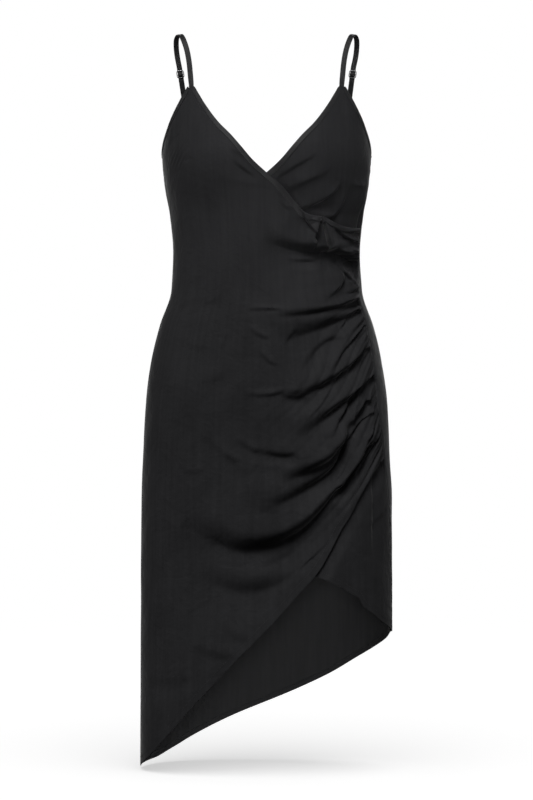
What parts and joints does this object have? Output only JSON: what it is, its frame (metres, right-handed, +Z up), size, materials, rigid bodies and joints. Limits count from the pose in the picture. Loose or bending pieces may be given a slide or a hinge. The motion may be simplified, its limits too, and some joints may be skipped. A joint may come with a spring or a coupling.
{
  "type": "satin wrap-front slip dress",
  "caption": "Close-fitting satin slip dress with a wrapped V neck, thin adjustable straps, side gathers and a slanting hem, hollow as when worn.",
  "frame": {"origin": "midway between the tops of the two shoulder straps, where the wearer's shoulders hold the dress", "axes": "+X to the right of someone who looks at the front, +Y to the back, +Z up"},
  "size_m": [0.3782, 0.236, 1.0964],
  "materials": {
    "satin": "soft black satin with a low sheen",
    "binding": "the same satin, folded and stitched",
    "strap": "narrow satin strap",
    "metal": "dull grey metal"
  },
  "bodies": {
    "root": {"front_over": "satin", "front_under": "satin", "back": "satin", "binding_neck_over": "binding", "binding_neck_under": "binding", "binding_armhole_l": "binding", "binding_armhole_r": "binding", "binding_back": "binding", "strap_l": "strap", "strap_r": "strap", "back_tab_l": "strap", "back_tab_r": "strap", "slider_l": "metal", "slider_r": "metal", "ring_l": "metal", "ring_r": "metal"}
  },
  "joints": []
}
